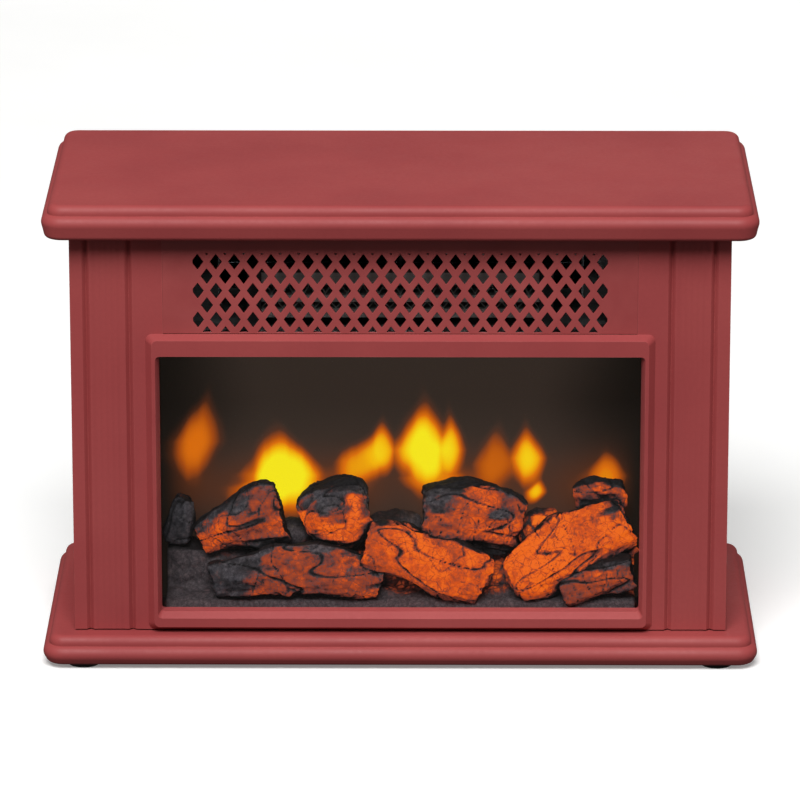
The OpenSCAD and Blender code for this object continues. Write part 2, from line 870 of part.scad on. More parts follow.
module terminal_block() {
    ways = 3;
    pitch = 10;
    x0 = gland_x + 20;
    color("#ece6d6") difference() {
        block([x0, 46, z_plinth], [x0 + ways * pitch, 62, z_plinth + 14]);
        for (i = [0:ways - 1], y = [50, 58])
            rod_z(x0 + (i + 0.5) * pitch, y, z_plinth + 6, z_plinth + 15, 2.2);
    }
}

// A circuit board on four posts behind the rear cover, with its larger components.
module control_board() {
    lo = [-70, 70];
    hi = [20, 130];
    board_y = cover_y - 10;
    color("#2f6b3a") block([lo[0], board_y, lo[1]], [hi[0], board_y + 1.6, hi[1]]);
    color("#d0d0d0") for (x = [lo[0] + 5, hi[0] - 5], z = [lo[1] + 5, hi[1] - 5])
        rod_y(x, board_y + 1.6, cover_y, z, 3);
    color("#2a4c8c") block([lo[0] + 10, board_y - 15, lo[1] + 12], [lo[0] + 38, board_y, lo[1] + 34]);
    color("#222222") for (i = [0:2]) rod_y(lo[0] + 52 + i * 13, board_y - 14, board_y, lo[1] + 42, 5);
    color("#333333") block([lo[0] + 50, board_y - 8, lo[1] + 10], [lo[0] + 78, board_y, lo[1] + 26]);
}

// ---- Tip-over switch ----

module tip_switch_body() {
    color("#cfc7b4") difference() {
        block([tip_x - 12, tip_y - 7, z_plinth], [tip_x + 12, tip_y + 7, z_plinth + 19]);
        rod_z(tip_x, tip_y, z_plinth - 1, chamber_z0 + 1, plunger_r + fit);
        rod_z(tip_x, tip_y, chamber_z0, chamber_z1, collar_r + gap);
    }
}

module tip_switch_plunger() {
    color("#e8e8e8") {
        rod_z(tip_x, tip_y, 0, collar_z + 0.5, plunger_r);
        rod_z(tip_x, tip_y, collar_z, collar_z + collar_h, collar_r);
        rod_z(tip_x, tip_y, collar_z + collar_h, collar_z + collar_h + 3, 1.8);
    }
}

module coil_spring(coil_r, wire_r, z0, z1, turns) {
    sides = 6;
    per_turn = 16;
    steps = turns * per_turn;
    rise = (z1 - z0 - 2 * wire_r) / steps;
    points = [for (i = [0:steps], k = [0:sides - 1])
        let (a = i * 360 / per_turn, b = k * 360 / sides, r = coil_r + wire_r * cos(b))
        [r * cos(a), r * sin(a), z0 + wire_r + i * rise + wire_r * sin(b)]];
    first_cap = [[for (k = [0:sides - 1]) k]];
    last_cap = [[for (k = [sides - 1:-1:0]) steps * sides + k]];
    skin = [for (i = [0:steps - 1], k = [0:sides - 1])
        let (a = i * sides, b = a + sides, next = (k + 1) % sides)
        [a + k, b + k, b + next, a + next]];
    polyhedron(points, concat(first_cap, skin, last_cap));
}

module tip_switch_spring() {
    color("silver") translate([tip_x, tip_y, 0])
        coil_spring(2.9, 0.35, collar_z + collar_h + 0.05, chamber_z1 - 0.05, 4);
}

// ---- Assembly ----

top_slab();
plinth();
feet();
foot_screws();
left_side_panel();
right_side_panel();
left_pilaster();
right_pilaster();
window_frame();
window_glass();
glass_clips();
outlet_grille();
corner_cleats();
rear_cover();
rear_cover_screws();
heater_shelf();
left_chassis_plate();
right_chassis_plate();
firebox_floor();
ember_bed();
ember_led_strip();
log_back_left();
log_back_middle();
log_back_right();
log_corner_left();
log_corner_right();
log_front_left();
log_front_middle();
log_front_right();
log_low_right();
flame_screen();
flame_rotor_shaft();
flame_rotor_foils();
flame_motor();
flame_rotor_bush();
flame_reflector();
flame_led_strip();
heater_duct();
heating_element();
element_holders();
thermal_cutout();
fan_wheel();
fan_shaft();
fan_motor();
fan_bush();
fan_end_plates();
fan_scroll();
control_plate();
switch_housings();
flame_switch_rocker();
heat_switch_rocker();
thermostat_body();
thermostat_spindle();
thermostat_knob();
cord_gland();
terminal_block();
control_board();
tip_switch_body();
tip_switch_plunger();
tip_switch_spring();
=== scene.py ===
"""Looks of a tabletop electric fireplace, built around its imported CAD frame, in metres."""

import json
import math
from collections import namedtuple

import bmesh
import bpy
import numpy as np
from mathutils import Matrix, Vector, noise
from mathutils.bvhtree import BVHTree


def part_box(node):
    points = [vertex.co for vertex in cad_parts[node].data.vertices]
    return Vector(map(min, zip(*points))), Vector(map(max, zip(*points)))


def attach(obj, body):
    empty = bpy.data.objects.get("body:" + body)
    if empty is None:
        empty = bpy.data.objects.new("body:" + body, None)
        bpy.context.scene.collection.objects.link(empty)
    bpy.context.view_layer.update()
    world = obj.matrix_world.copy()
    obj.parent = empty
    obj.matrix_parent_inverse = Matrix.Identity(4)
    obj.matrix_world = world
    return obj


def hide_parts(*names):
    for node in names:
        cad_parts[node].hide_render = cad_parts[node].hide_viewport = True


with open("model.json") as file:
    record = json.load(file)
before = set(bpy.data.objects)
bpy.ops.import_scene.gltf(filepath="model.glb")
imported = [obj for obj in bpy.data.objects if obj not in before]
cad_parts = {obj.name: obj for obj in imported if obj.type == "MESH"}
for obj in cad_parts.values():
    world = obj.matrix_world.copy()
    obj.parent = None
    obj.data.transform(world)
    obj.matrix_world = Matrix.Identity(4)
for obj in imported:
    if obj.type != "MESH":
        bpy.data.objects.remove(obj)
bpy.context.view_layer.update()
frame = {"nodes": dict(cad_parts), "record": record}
nodes = frame["nodes"]

slots = {part["node"]: part["material_slot"] for part in frame["record"]["subparts"]}

MM = 0.001


# ---- Camera and lights ----

# The camera stands far off with a long lens, almost straight in front and a little above
CAMERA_LENS = 265.5
CAMERA_TARGET = Vector((-0.0005, 0, 0.133))
CAMERA_AZIMUTH = 0.29
CAMERA_ELEVATION = 16.81
CAMERA_DISTANCE = 3.397

LIGHT_TARGET = Vector((0, 0, 0.12))
LIGHTS = [
    # (name, azimuth and elevation in degrees, distance and size in metres, watts, shown in gloss)
    ("key", -6, 51, 5.0, 3.0, 300, True),
    ("fill_left", -80, 14, 4.0, 2.0, 30, False),
    ("fill_right", 80, 14, 4.0, 2.0, 30, False),
    ("back", 172, 14, 4.0, 1.6, 50, False),
]


def direction(azimuth, elevation):
    """Unit vector away from the object at these angles in degrees; azimuth 0 is in front."""
    a, e = math.radians(azimuth), math.radians(elevation)
    return Vector((math.sin(a) * math.cos(e), -math.cos(a) * math.cos(e), math.sin(e)))


def aim(obj, place, target):
    """Puts a camera or light in the scene at a place, pointing at the target."""
    obj.location = place
    obj.rotation_euler = (target - place).to_track_quat("-Z", "Y").to_euler()
    bpy.context.scene.collection.objects.link(obj)


def add_camera():
    data = bpy.data.cameras.new("camera")
    data.sensor_width = 36
    data.lens = CAMERA_LENS
    camera = bpy.data.objects.new("camera", data)
    away = direction(CAMERA_AZIMUTH, CAMERA_ELEVATION) * CAMERA_DISTANCE
    aim(camera, CAMERA_TARGET + away, CAMERA_TARGET)
    bpy.context.scene.camera = camera


def add_lights():
    for name, azimuth, elevation, distance, size, power, glossy in LIGHTS:
        data = bpy.data.lights.new(name, "AREA")
        data.shape = "DISK"
        data.size = size
        data.energy = power
        light = bpy.data.objects.new(name, data)
        light.visible_glossy = glossy
        aim(light, LIGHT_TARGET + direction(azimuth, elevation) * distance, LIGHT_TARGET)


def add_world():
    world = bpy.data.worlds.new("studio")
    world.use_nodes = True
    back = world.node_tree.nodes["Background"]
    back.inputs["Color"].default_value = (1.0, 0.99, 0.97, 1)
    back.inputs["Strength"].default_value = 0.1
    bpy.context.scene.world = world
    bpy.context.scene.view_settings.view_transform = "Standard"


# ---- Node graphs ----

class Graph:
    """A material and short calls for its nodes. Textures follow the object's own coordinates."""

    def __init__(self, name):
        self.material = bpy.data.materials.new(name)
        self.material.use_nodes = True
        self.tree = self.material.node_tree
        self.tree.nodes.clear()
        self.place = self.add("TexCoord").outputs["Object"]

    def add(self, kind, inputs=None, **settings):
        """A new shader node; an input that is a socket is linked, any other is a plain value."""
        node = self.tree.nodes.new("ShaderNode" + kind)
        for key, value in settings.items():
            setattr(node, key, value)
        for key, value in (inputs or {}).items():
            if isinstance(value, bpy.types.NodeSocket):
                self.tree.links.new(value, node.inputs[key])
            else:
                node.inputs[key].default_value = value
        return node

    def math(self, operation, a, b=0.0, clamp=False):
        return self.add("Math", {0: a, 1: b}, operation=operation, use_clamp=clamp).outputs[0]

    def stretch(self, scale, turn=(0, 0, 0)):
        """The object's coordinates scaled along each axis, for grain."""
        inputs = {"Vector": self.place, "Scale": scale, "Rotation": turn}
        return self.add("Mapping", inputs).outputs[0]

    def noise(self, scale, detail=3.0, rough=0.5, distortion=0.0, at=None):
        inputs = {"Vector": at or self.place, "Scale": scale, "Detail": detail,
                  "Roughness": rough, "Distortion": distortion}
        return self.add("TexNoise", inputs).outputs["Fac"]

    def cells(self, scale):
        """Distance to the nearest border between cells."""
        inputs = {"Vector": self.place, "Scale": scale}
        return self.add("TexVoronoi", inputs, feature="DISTANCE_TO_EDGE").outputs["Distance"]

    def ramp(self, value, stops):
        """A colour for a value, through stops of (value, colour) in rising order."""
        node = self.add("ValToRGB", {"Fac": value})
        points = node.color_ramp.elements
        for at, _ in stops[1:-1]:
            points.new(at)
        for point, (at, colour) in zip(points, stops):
            point.position = at
            point.color = (*colour, 1)
        return node.outputs["Color"]

    def span(self, value, low, high, to_low=0.0, to_high=1.0):
        """The value from low to high, carried over to the range from to_low to to_high."""
        inputs = {"Value": value, "From Min": low, "From Max": high,
                  "To Min": to_low, "To Max": to_high}
        return self.add("MapRange", inputs).outputs[0]

    def mix(self, share, a, b, blend="MIX"):
        """Colour a blended with b by share. The node's two colours are its inputs 6 and 7."""
        node = self.add("Mix", data_type="RGBA", blend_type=blend)
        for key, value in ((0, share), (6, a), (7, b)):
            if isinstance(value, bpy.types.NodeSocket):
                self.tree.links.new(value, node.inputs[key])
            else:
                whole = (*value, 1) if isinstance(value, tuple) else value
                node.inputs[key].default_value = whole
        return node.outputs[2]

    def bump(self, height, distance, strength, under=None):
        """Relief of this height in metres, on top of the relief under it."""
        inputs = {"Height": height, "Distance": distance, "Strength": strength}
        if under:
            inputs["Normal"] = under
        return self.add("Bump", inputs).outputs[0]

    def edges(self, radius):
        """About 1 on outside edges and 0 on flat faces."""
        rounded = self.add("Bevel", {"Radius": radius}, samples=4).outputs[0]
        flat = self.add("NewGeometry").outputs["True Normal"]
        match = self.add("VectorMath", {0: rounded, 1: flat}, operation="DOT_PRODUCT")
        return self.span(match.outputs["Value"], 0.98, 0.8)

    def attribute(self, name):
        return self.add("Attribute", attribute_name=name).outputs["Fac"]

    def finish(self, shader):
        out = self.add("OutputMaterial")
        self.tree.links.new(shader, out.inputs["Surface"])
        return self.material

    def principled(self, **inputs):
        named = {key.replace("_", " "): value for key, value in inputs.items()}
        return self.finish(self.add("BsdfPrincipled", named).outputs[0])


def rgb(r, g, b):
    """An sRGB colour from 0 to 255 as linear light."""
    def linear(c):
        return ((c / 255 + 0.055) / 1.055) ** 2.4 if c > 10 else c / 255 / 12.92

    return linear(r), linear(g), linear(b)


BLACK = (0, 0, 0)


# ---- Finishes ----

def lacquer():
    """Satin cinnamon red lacquer over fine-grained board."""
    g = Graph("red_lacquer")
    cloud = g.noise(9, 3, 0.55)
    speck = g.noise(420, 2, 0.6)
    shade = g.ramp(cloud, [(0.3, rgb(148, 60, 61)), (0.5, rgb(155, 65, 65)),
                           (0.72, rgb(160, 70, 69))])
    shade = g.mix(g.span(speck, 0.35, 0.75, 0, 0.10), shade, rgb(120, 44, 45))
    # Edges painted lighter: partly wear, partly a painted highlight along the rounded mouldings.
    wear_and_highlight = g.math("MULTIPLY", g.edges(0.0009), g.span(g.noise(70, 3), 0.4, 0.65, 0.12, 0.5))
    shade = g.mix(wear_and_highlight, shade, rgb(188, 106, 100))
    handled = g.span(g.noise(26, 4, 0.6), 0.35, 0.7, 0.54, 0.64)
    rough = g.math("ADD", handled, g.span(speck, 0.3, 0.7, -0.02, 0.03))
    peel = g.bump(g.noise(650, 2, 0.5), 0.00006, 0.35)
    grain = g.bump(g.noise(1, 4, 0.6, at=g.stretch((30, 700, 700))), 0.00005, 0.25, peel)
    return g.principled(Base_Color=shade, Roughness=rough, Normal=grain,
                        Specular_IOR_Level=0.34)


def powder_coat(name, low, high, wear_and_highlight_colour, rough, grain=900):
    """Baked paint on sheet steel, with a fine orange-peel grain."""
    g = Graph(name)
    shade = g.mix(g.span(g.noise(35, 4, 0.6), 0.3, 0.7), low, high)
    # Edges painted lighter: partly wear, partly a painted highlight.
    wear_and_highlight = g.math("MULTIPLY", g.edges(0.0004), g.span(g.noise(160, 3), 0.5, 0.68, 0, 0.45))
    shade = g.mix(wear_and_highlight, shade, wear_and_highlight_colour)
    peel = g.bump(g.noise(grain, 2, 0.6), 0.00006, 0.5)
    return g.principled(Base_Color=shade, Roughness=g.span(g.noise(60, 4), 0.3, 0.7, *rough),
                        Normal=peel, Specular_IOR_Level=0.4)


def bare_metal(name, low, high, rough, brushed=(900, 40, 40), depth=0.00004, stain=None):
    """Rolled or drawn metal with fine lines along one way, a cloudy dullness and stains."""
    g = Graph(name)
    lines = g.noise(1, 3, 0.6, at=g.stretch(brushed))
    cloud = g.noise(45, 4, 0.6)
    shade = g.mix(g.span(cloud, 0.3, 0.7), low, high)
    shade = g.mix(g.span(lines, 0.3, 0.7, 0, 0.25), shade, tuple(c * 0.55 for c in low))
    if stain:
        shade = g.mix(g.span(g.noise(90, 5, 0.7), 0.52, 0.75, 0, 0.6), shade, stain)
    return g.principled(Base_Color=shade, Roughness=g.span(cloud, 0.3, 0.75, *rough),
                        Metallic=1.0, Normal=g.bump(lines, depth, 0.5))


def spangled_zinc(name):
    """Galvanised sheet with its crystal pattern."""
    g = Graph(name)
    crystal = g.add("TexVoronoi", {"Vector": g.place, "Scale": 110}).outputs["Color"]
    tone = g.add("SeparateColor", {"Color": crystal}).outputs[0]
    shade = g.ramp(tone, [(0.0, rgb(122, 127, 130)), (0.5, rgb(156, 161, 163)),
                          (1.0, rgb(184, 188, 189))])
    shade = g.mix(g.span(g.noise(60, 5, 0.7), 0.5, 0.75, 0, 0.5), shade, rgb(104, 102, 98))
    return g.principled(Base_Color=shade, Roughness=g.span(tone, 0, 1, 0.34, 0.52),
                        Metallic=0.9, Normal=g.bump(g.noise(500, 3), 0.00005, 0.4))


def moulded(name, low, high, rough=(0.4, 0.55), grain=1400, depth=0.00005, sheen=None):
    """Moulded plastic or rubber with a spark-eroded grain, and edges painted lighter, partly as
    scuffs and partly as a painted sheen.
    """
    g = Graph(name)
    shade = g.mix(g.span(g.noise(80, 4, 0.6), 0.3, 0.7), low, high)
    # Lighter edges: partly scuffs, partly a painted sheen.
    scuffs_and_sheen = g.math("MULTIPLY", g.edges(0.0005), g.span(g.noise(220, 3), 0.45, 0.7, 0.05, 0.5))
    shade = g.mix(scuffs_and_sheen, shade, sheen or tuple(min(1, c * 2.2 + 0.02) for c in high))
    return g.principled(Base_Color=shade, Roughness=g.span(g.noise(130, 4), 0.3, 0.7, *rough),
                        Normal=g.bump(g.noise(grain, 2, 0.6), depth, 0.6))


def bare_wood(name):
    """Sawn softwood, with its growth rings along Z and open fibres."""
    g = Graph(name)
    waves = {"Vector": g.stretch((1, 1, 0.12), (0.1, 0.05, 0.6)), "Scale": 190,
             "Distortion": 9, "Detail": 3, "Detail Scale": 2.2}
    rings = g.add("TexWave", waves).outputs["Fac"]
    fibres = g.noise(1, 4, 0.7, at=g.stretch((1300, 1300, 60)))
    shade = g.ramp(rings, [(0.1, rgb(196, 158, 108)), (0.6, rgb(212, 178, 130)),
                           (0.95, rgb(172, 130, 82))])
    shade = g.mix(g.span(fibres, 0.35, 0.7, 0, 0.4), shade, rgb(140, 100, 62))
    return g.principled(Base_Color=shade, Roughness=g.span(fibres, 0.3, 0.7, 0.62, 0.78),
                        Normal=g.bump(fibres, 0.0001, 0.6))


def window_pane(name):
    """Clear flat glass: a view straight through, under a thin mirror layer with smears."""
    g = Graph(name)
    smears = g.span(g.noise(24, 4, 0.6), 0.4, 0.75, 0.03, 0.16)
    clear = g.add("BsdfTransparent", {"Color": (0.96, 0.965, 0.96, 1)}).outputs[0]
    gloss = g.add("BsdfGlossy", {"Color": (1, 1, 1, 1), "Roughness": smears}).outputs[0]
    facing = g.add("Fresnel", {"IOR": 1.3}).outputs[0]
    return g.finish(g.add("MixShader", {0: facing, 1: clear, 2: gloss}).outputs[0])


def charred(name):
    """Resin logs: grey char, black along the crests, lit orange flanks with dark cracks, and
    painted shade where the pile hems them in.
    """
    g = Graph(name)
    heat = g.attribute("lit_share")
    crack = g.attribute("crack_depth")
    # Painted shade: the char and its glow are darkened where the pile hems a point in.
    nook_shade = g.span(g.attribute("crevice_shade_share"), 0.06, 0.42)
    fine = g.noise(380, 5, 0.65)
    patch = g.noise(95, 4, 0.6)
    char = g.ramp(fine, [(0.3, rgb(54, 52, 59)), (0.52, rgb(106, 102, 110)),
                         (0.75, rgb(162, 157, 164))])
    char = g.mix(g.span(patch, 0.45, 0.70, 0, 0.6), char, rgb(44, 38, 38))
    char = g.mix(g.span(g.attribute("crest_share"), 0.0, 1.0, 0, 0.84), char, rgb(20, 18, 19))
    char = g.mix(g.span(crack, 0.0, 1.0, 0, 0.9), char, rgb(14, 11, 11))
    char = g.mix(g.math("MULTIPLY", nook_shade, 0.8), char, rgb(18, 12, 11))
    wide = g.noise(42, 3, 0.55)
    uneven = g.math("ADD", heat, g.span(patch, 0.3, 0.7, -0.20, 0.12))
    uneven = g.math("ADD", uneven, g.span(wide, 0.35, 0.65, -0.28, 0.1))
    uneven = g.math("ADD", uneven, g.span(fine, 0.3, 0.7, -0.16, 0.10))
    veins = g.math("ABSOLUTE", g.math("SUBTRACT", g.noise(130, 3, 0.6, 0.6), 0.5))
    blocks = g.math("MULTIPLY", g.span(g.cells(190), 0.0, 0.07, 0.34, 0),
                    g.span(wide, 0.42, 0.60))
    lit = g.math("SUBTRACT", uneven, g.span(crack, 0.1, 1.0, 0, 0.8))
    lit = g.math("SUBTRACT", lit, g.span(veins, 0.0, 0.02, 0.34, 0))
    lit = g.math("SUBTRACT", lit, blocks)
    lit = g.math("SUBTRACT", lit, g.math("MULTIPLY", nook_shade, 0.75), clamp=True)
    glow = g.ramp(lit, [(0.0, BLACK), (0.20, rgb(58, 22, 17)), (0.40, rgb(112, 47, 34)),
                        (0.60, rgb(156, 62, 30)), (0.80, rgb(208, 78, 12)),
                        (1.0, rgb(238, 104, 14))])
    body = g.mix(g.span(lit, 0.05, 0.5), char, rgb(112, 52, 36))
    relief = g.bump(fine, 0.0006, 0.7, g.bump(g.noise(1500, 3), 0.00015, 0.5))
    return g.principled(Base_Color=body, Roughness=g.span(fine, 0.3, 0.7, 0.72, 0.92),
                        Normal=relief, Emission_Color=glow, Emission_Strength=1.0,
                        Specular_IOR_Level=0.3)


def ember_grit(name):
    """Grey ash and cinders, black along their crests, that glow where the lit share says, dimmed by
    painted shade where the pile hems them in.
    """
    g = Graph(name)
    heat = g.attribute("lit_share")
    fine = g.noise(520, 4, 0.65)
    lumps = g.cells(260)
    # Painted shade: the glow is dimmed where the pile hems a point in.
    nook_shade = g.span(g.attribute("crevice_shade_share"), 0.08, 0.5)
    shade = g.ramp(fine, [(0.3, rgb(80, 72, 77)), (0.55, rgb(112, 102, 107)),
                          (0.78, rgb(148, 137, 141))])
    shade = g.mix(g.span(lumps, 0.0, 0.10, 0.4, 0), shade, rgb(58, 52, 56))
    shade = g.mix(g.span(g.attribute("crest_share"), 0.0, 1.0, 0, 0.8), shade, rgb(16, 15, 17))
    lit = g.math("SUBTRACT", heat, g.span(lumps, 0.0, 0.12, 0.25, 0))
    lit = g.math("SUBTRACT", lit, g.math("MULTIPLY", nook_shade, 0.6))
    lit = g.math("ADD", lit, g.span(fine, 0.3, 0.7, -0.14, 0.12), clamp=True)
    glow = g.ramp(lit, [(0.0, BLACK), (0.25, rgb(50, 16, 10)), (0.5, rgb(130, 52, 28)),
                        (0.8, rgb(214, 88, 20)), (1.0, rgb(244, 112, 24))])
    body = g.mix(g.span(lit, 0.1, 0.5), shade, rgb(86, 38, 26))
    relief = g.bump(lumps, 0.0006, 0.7, g.bump(fine, 0.0004, 0.6))
    return g.principled(Base_Color=body, Roughness=g.span(fine, 0.3, 0.7, 0.75, 0.95),
                        Normal=relief, Emission_Color=glow, Emission_Strength=1.0,
                        Specular_IOR_Level=0.25)


def flame_glass(name):
    """The frosted flame screen: smoky brown, with soft flames thrown on it from behind."""
    g = Graph(name)
    heat = g.attribute("flame_light")
    edge = g.attribute("dim_share")
    grain = g.noise(700, 3, 0.6)
    base = g.mix(g.span(grain, 0.3, 0.7, 0, 0.4), rgb(44, 35, 30), rgb(36, 29, 25))
    base = g.mix(g.span(heat, 0.05, 0.35), base, rgb(24, 12, 2))
    glow = g.ramp(heat, [(0.0, BLACK), (0.12, rgb(66, 26, 4)), (0.32, rgb(166, 72, 6)),
                         (0.54, rgb(226, 112, 2)), (0.76, rgb(252, 184, 0)),
                         (1.0, rgb(255, 238, 26))])
    base_glow = g.mix(edge, rgb(48, 38, 32), rgb(14, 9, 5))
    base_glow = g.mix(g.span(heat, 0.05, 0.35), base_glow, rgb(20, 10, 0))
    light = g.mix(1.0, glow, base_glow, "ADD")
    return g.principled(Base_Color=base, Roughness=g.span(grain, 0.3, 0.7, 0.42, 0.6),
                        Normal=g.bump(grain, 0.00003, 0.3), Emission_Color=light,
                        Emission_Strength=1.0, Specular_IOR_Level=0.2)


def circuit_board(name):
    """Green board with a grid of paler tracks."""
    g = Graph(name)
    tracks = {"Vector": g.stretch((260, 260, 260)), "Color1": (*rgb(30, 92, 52), 1),
              "Color2": (*rgb(36, 104, 58), 1), "Mortar": (*rgb(58, 132, 74), 1),
              "Mortar Size": 0.03}
    traces = g.add("TexBrick", tracks).outputs["Color"]
    shade = g.mix(g.span(g.noise(300, 3), 0.4, 0.7, 0, 0.3), traces, rgb(22, 64, 38))
    return g.principled(Base_Color=shade, Roughness=g.span(g.noise(200, 3), 0.3, 0.7, 0.35, 0.5),
                        Normal=g.bump(g.noise(900, 2), 0.00005, 0.4))


def floor_paper(name):
    """White studio paper, lifted by a little light of its own so that it stays white far off."""
    g = Graph(name)
    cloud = g.span(g.noise(3, 4, 0.6), 0.3, 0.7)
    shade = g.mix(cloud, rgb(244, 244, 243), rgb(248, 248, 247))
    return g.principled(Base_Color=shade, Roughness=g.span(g.noise(40, 3), 0.3, 0.7, 0.7, 0.8),
                        Normal=g.bump(g.noise(600, 3), 0.0001, 0.2), Emission_Color=shade,
                        Emission_Strength=0.22)


def make_materials():
    """One finish for each material slot of the record."""
    return {
        "red_lacquer": lacquer(),
        "red_metal": powder_coat("red_metal", rgb(146, 62, 62), rgb(158, 72, 71),
                                 rgb(184, 108, 102), (0.38, 0.5)),
        "rubber": moulded("rubber", rgb(20, 20, 20), rgb(32, 31, 31), (0.7, 0.85), 900, 0.0001),
        "bright_steel": bare_metal("bright_steel", rgb(176, 178, 180), rgb(206, 208, 210),
                                   (0.2, 0.36)),
        "glass": window_pane("glass"),
        "bare_wood": bare_wood("bare_wood"),
        "dark_metal": powder_coat("dark_metal", rgb(38, 37, 37), rgb(50, 49, 48),
                                  rgb(120, 118, 116), (0.5, 0.66), grain=700),
        "zinc_steel": spangled_zinc("zinc_steel"),
        "embers": ember_grit("embers"),
        "logs": charred("logs"),
        "flame_screen": flame_glass("flame_screen"),
        "circuit": circuit_board("circuit"),
        "foil": bare_metal("foil", rgb(214, 216, 220), rgb(236, 238, 240), (0.08, 0.2),
                           brushed=(200, 200, 200), depth=0.0003),
        "motor": bare_metal("motor", rgb(120, 122, 124), rgb(150, 152, 154), (0.35, 0.5),
                            brushed=(60, 900, 900), stain=rgb(92, 84, 74)),
        "bronze": bare_metal("bronze", rgb(150, 108, 62), rgb(184, 140, 88), (0.4, 0.6),
                             brushed=(900, 60, 60)),
        "pale_plastic": moulded("pale_plastic", rgb(214, 207, 190), rgb(226, 220, 206),
                                (0.4, 0.55), sheen=rgb(240, 236, 226)),
        "element": bare_metal("element", rgb(176, 178, 176), rgb(204, 206, 203), (0.4, 0.55),
                              brushed=(50, 900, 900), stain=rgb(136, 124, 108)),
        "fan_wheel": bare_metal("fan_wheel", rgb(128, 131, 134), rgb(160, 163, 166), (0.3, 0.45)),
        "black_plastic": moulded("black_plastic", rgb(20, 20, 21), rgb(30, 30, 31)),
        "red_rocker": moulded("red_rocker", rgb(168, 22, 22), rgb(190, 32, 30), (0.25, 0.36)),
    }


# ---- Mesh helpers ----

def corners(node):
    """A CAD node's lowest and highest corner as vectors."""
    low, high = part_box(node)
    return Vector(low), Vector(high)


def new_piece(name, mesh, slot, body="cabinet", stands_for=()):
    """Puts a mesh in the scene with its slot's material, on a body, in the place of CAD nodes."""
    obj = bpy.data.objects.new(name, mesh)
    bpy.context.scene.collection.objects.link(obj)
    mesh.materials.append(materials[slot])
    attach(obj, body)
    if stands_for:
        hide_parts(*stands_for)
    return obj


def mesh_from(name, build):
    """A new mesh with what build(bm) draws in it."""
    bm = bmesh.new()
    build(bm)
    mesh = bpy.data.meshes.new(name)
    bm.to_mesh(mesh)
    bm.free()
    return mesh


def set_attribute(mesh, name, values):
    """Stores one number for each vertex, for the materials to read."""
    layer = mesh.attributes.new(name, "FLOAT", "POINT")
    layer.data.foreach_set("value", np.asarray(values, dtype=np.float32))


def shade_smooth(mesh):
    for polygon in mesh.polygons:
        polygon.use_smooth = True


def smooth_step(a, b, x):
    """0 below a and 1 above b, with a smooth rise between them."""
    t = max(0.0, min(1.0, (x - a) / (b - a)))
    return t * t * (3 - 2 * t)


def ease_edges(obj, width):
    """Welds a carried-over CAD mesh and rounds its sharp edges a little."""
    weld = obj.modifiers.new("weld", "WELD")
    weld.merge_threshold = 1e-6
    bevel = obj.modifiers.new("bevel", "BEVEL")
    bevel.width = width
    bevel.segments = 2
    bevel.limit_method = "ANGLE"
    bevel.angle_limit = math.radians(32)
    normals = obj.modifiers.new("normals", "WEIGHTED_NORMAL")
    normals.keep_sharp = False
    normals.weight = 80


# ---- Logs ----

# glow: how brightly its flank is lit; climb: the angle in degrees that the light climbs to;
# cold_end: share of its length that stays dark at the left end; growth: its thickness in CAD
# thicknesses; tall: height over depth of its section; bend: rise of its middle, as a share of
# its two end radii together; lobes: how many lumps of broken bark it has
Log = namedtuple("Log", "glow climb cold_end growth tall bend lobes seed")
LOGS = {
    "log_back_left": Log(0.80, 36, 0.0, 1.16, 1.14, 0.06, 5, 3),
    "log_back_middle": Log(1.04, 28, 0.0, 1.22, 1.14, 0.04, 4, 8),
    "log_back_right": Log(0.86, 40, 0.0, 1.16, 1.14, 0.06, 5, 15),
    "log_corner_left": Log(0.0, -90, 0.0, 1.05, 1.06, -0.20, 3, 21),
    "log_corner_right": Log(0.80, 44, 0.0, 1.24, 1.14, 0.05, 3, 28),
    "log_front_left": Log(0.74, 44, 0.26, 1.20, 1.22, 0.42, 6, 33),
    "log_front_middle": Log(1.02, 72, 0.0, 1.38, 1.34, 0.10, 6, 41),
    "log_front_right": Log(1.06, 74, 0.0, 1.32, 1.34, 0.08, 6, 47),
    "log_low_right": Log(0.76, 40, 0.0, 1.18, 1.20, 0.08, 4, 52),
}
# Room between the logs and the glass in front of them, and the screen behind them
GLASS_GAP = 0.0009
# Depths of the carving in metres
LUMP_DEPTH = 0.0030
BARK_DEPTH = 0.0058
CRACK_DEPTH = 0.0013
GRAIN_DEPTH = 0.00025


def remeshed(name, source, voxel):
    """The outer skin of a mesh of overlapping solids as one even mesh."""
    obj = bpy.data.objects.new(name + ".source", source)
    bpy.context.scene.collection.objects.link(obj)
    remesh = obj.modifiers.new("remesh", "REMESH")
    remesh.mode = "VOXEL"
    remesh.voxel_size = voxel
    shown = obj.evaluated_get(bpy.context.evaluated_depsgraph_get())
    mesh = bpy.data.meshes.new_from_object(shown)
    mesh.materials.clear()
    bpy.data.objects.remove(obj)
    mesh.name = name
    return mesh


def swept_solid(bm, path, radii, seed, tall, sides=22):
    """A closed, uneven tube along a path, its section tall times as high as it is deep."""
    rings = []
    steps = len(path)
    for i, (centre, radius) in enumerate(zip(path, radii)):
        along = (path[min(i + 1, steps - 1)] - path[max(i - 1, 0)]).normalized()
        across = along.cross(Vector((0, 0, 1))).normalized()
        up = across.cross(along) * tall
        ring = []
        for k in range(sides):
            a = math.tau * k / sides
            at = Vector((math.cos(a) * 1.2, math.sin(a) * 1.2, i * 0.13 + seed * 7.7))
            uneven = 1 + 0.26 * noise.noise(at)
            spoke = across * math.cos(a) + up * math.sin(a)
            ring.append(bm.verts.new(centre + spoke * radius * uneven))
        rings.append(ring)
    for a, b in zip(rings, rings[1:]):
        for k in range(sides):
            bm.faces.new((a[k], a[(k + 1) % sides], b[(k + 1) % sides], b[k]))
    bm.faces.new(rings[0][::-1])
    bm.faces.new(rings[-1])


